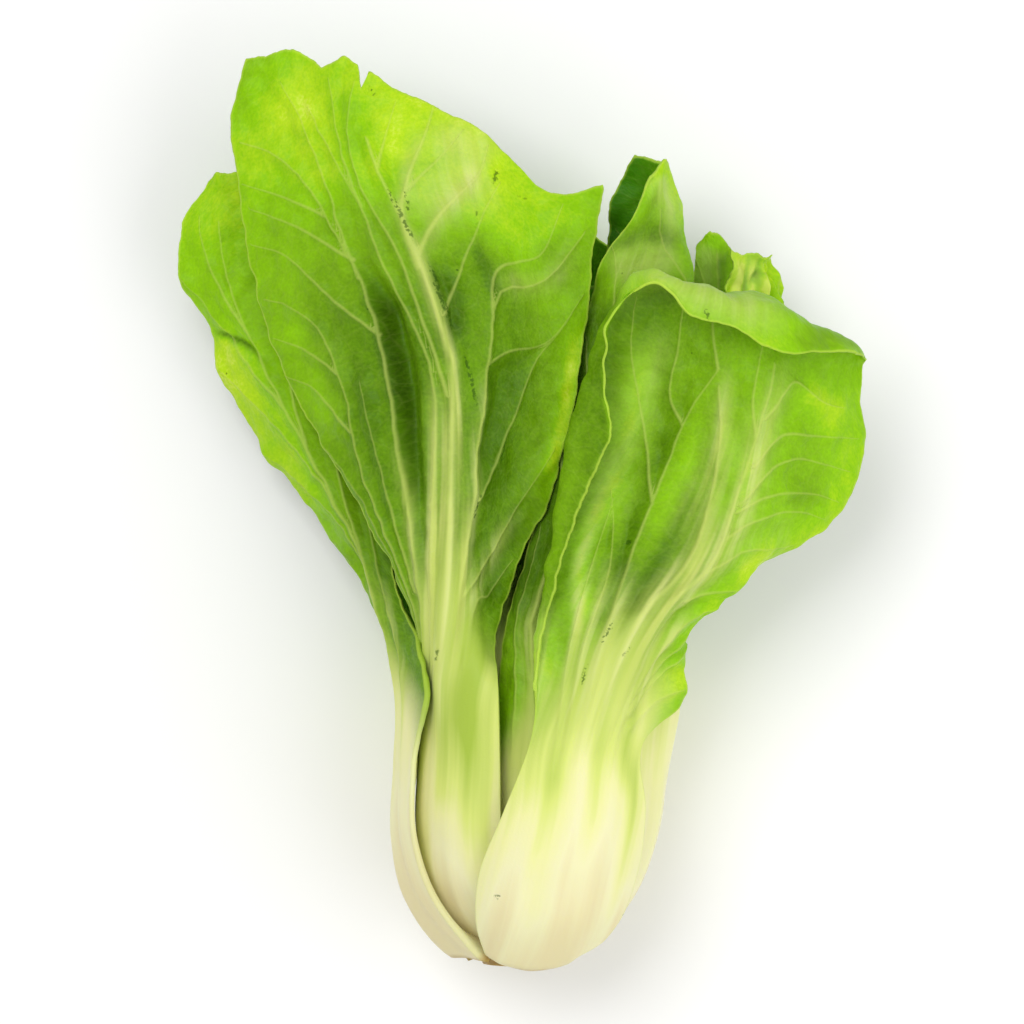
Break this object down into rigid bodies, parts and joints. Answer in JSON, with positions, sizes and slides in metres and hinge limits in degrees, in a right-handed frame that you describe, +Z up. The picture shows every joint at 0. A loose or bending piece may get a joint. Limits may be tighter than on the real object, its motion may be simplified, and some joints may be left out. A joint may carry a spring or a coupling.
{
  "type": "bok choy",
  "caption": "Head of bok choy cut at the root and laid on its back, with fleshy pale petioles layered around a short stem and broad green leaf blades fanned above them.",
  "frame": {"origin": "on the surface that the head lies on, under the middle of its bounding box", "axes": "+Z up from the surface, +Y from the cut root end towards the leaf tips, +X to the right seen from above with the tips pointing away"},
  "size_m": [0.1812, 0.2398, 0.0839],
  "materials": {
    "outer_leaf": "fresh full-grown leaf: satin waxy green blade with pale raised veins, running into a smooth cream-white petiole",
    "inner_leaf": "fresh inner leaf: darker satin green blade with pale veins on a pale green petiole",
    "heart_leaf": "young heart leaf: soft yellow-green blade on a thin pale petiole",
    "cut_stem": "cut stem face: moist cream-white pith with a slightly browned rim"
  },
  "bodies": {
    "root": {"front_leaf_right": "outer_leaf", "front_leaf_left": "outer_leaf", "outer_leaf_left": "outer_leaf", "outer_leaf_right": "outer_leaf", "back_leaf_left": "outer_leaf", "back_leaf_right": "outer_leaf", "inner_leaf_rolled": "inner_leaf", "inner_leaf_right": "inner_leaf", "inner_leaf_left": "inner_leaf", "inner_leaf_back": "inner_leaf", "heart_leaf_upper": "heart_leaf", "heart_leaf_lower": "heart_leaf", "heart_leaf_centre": "heart_leaf", "stem_base": "cut_stem"}
  },
  "joints": []
}
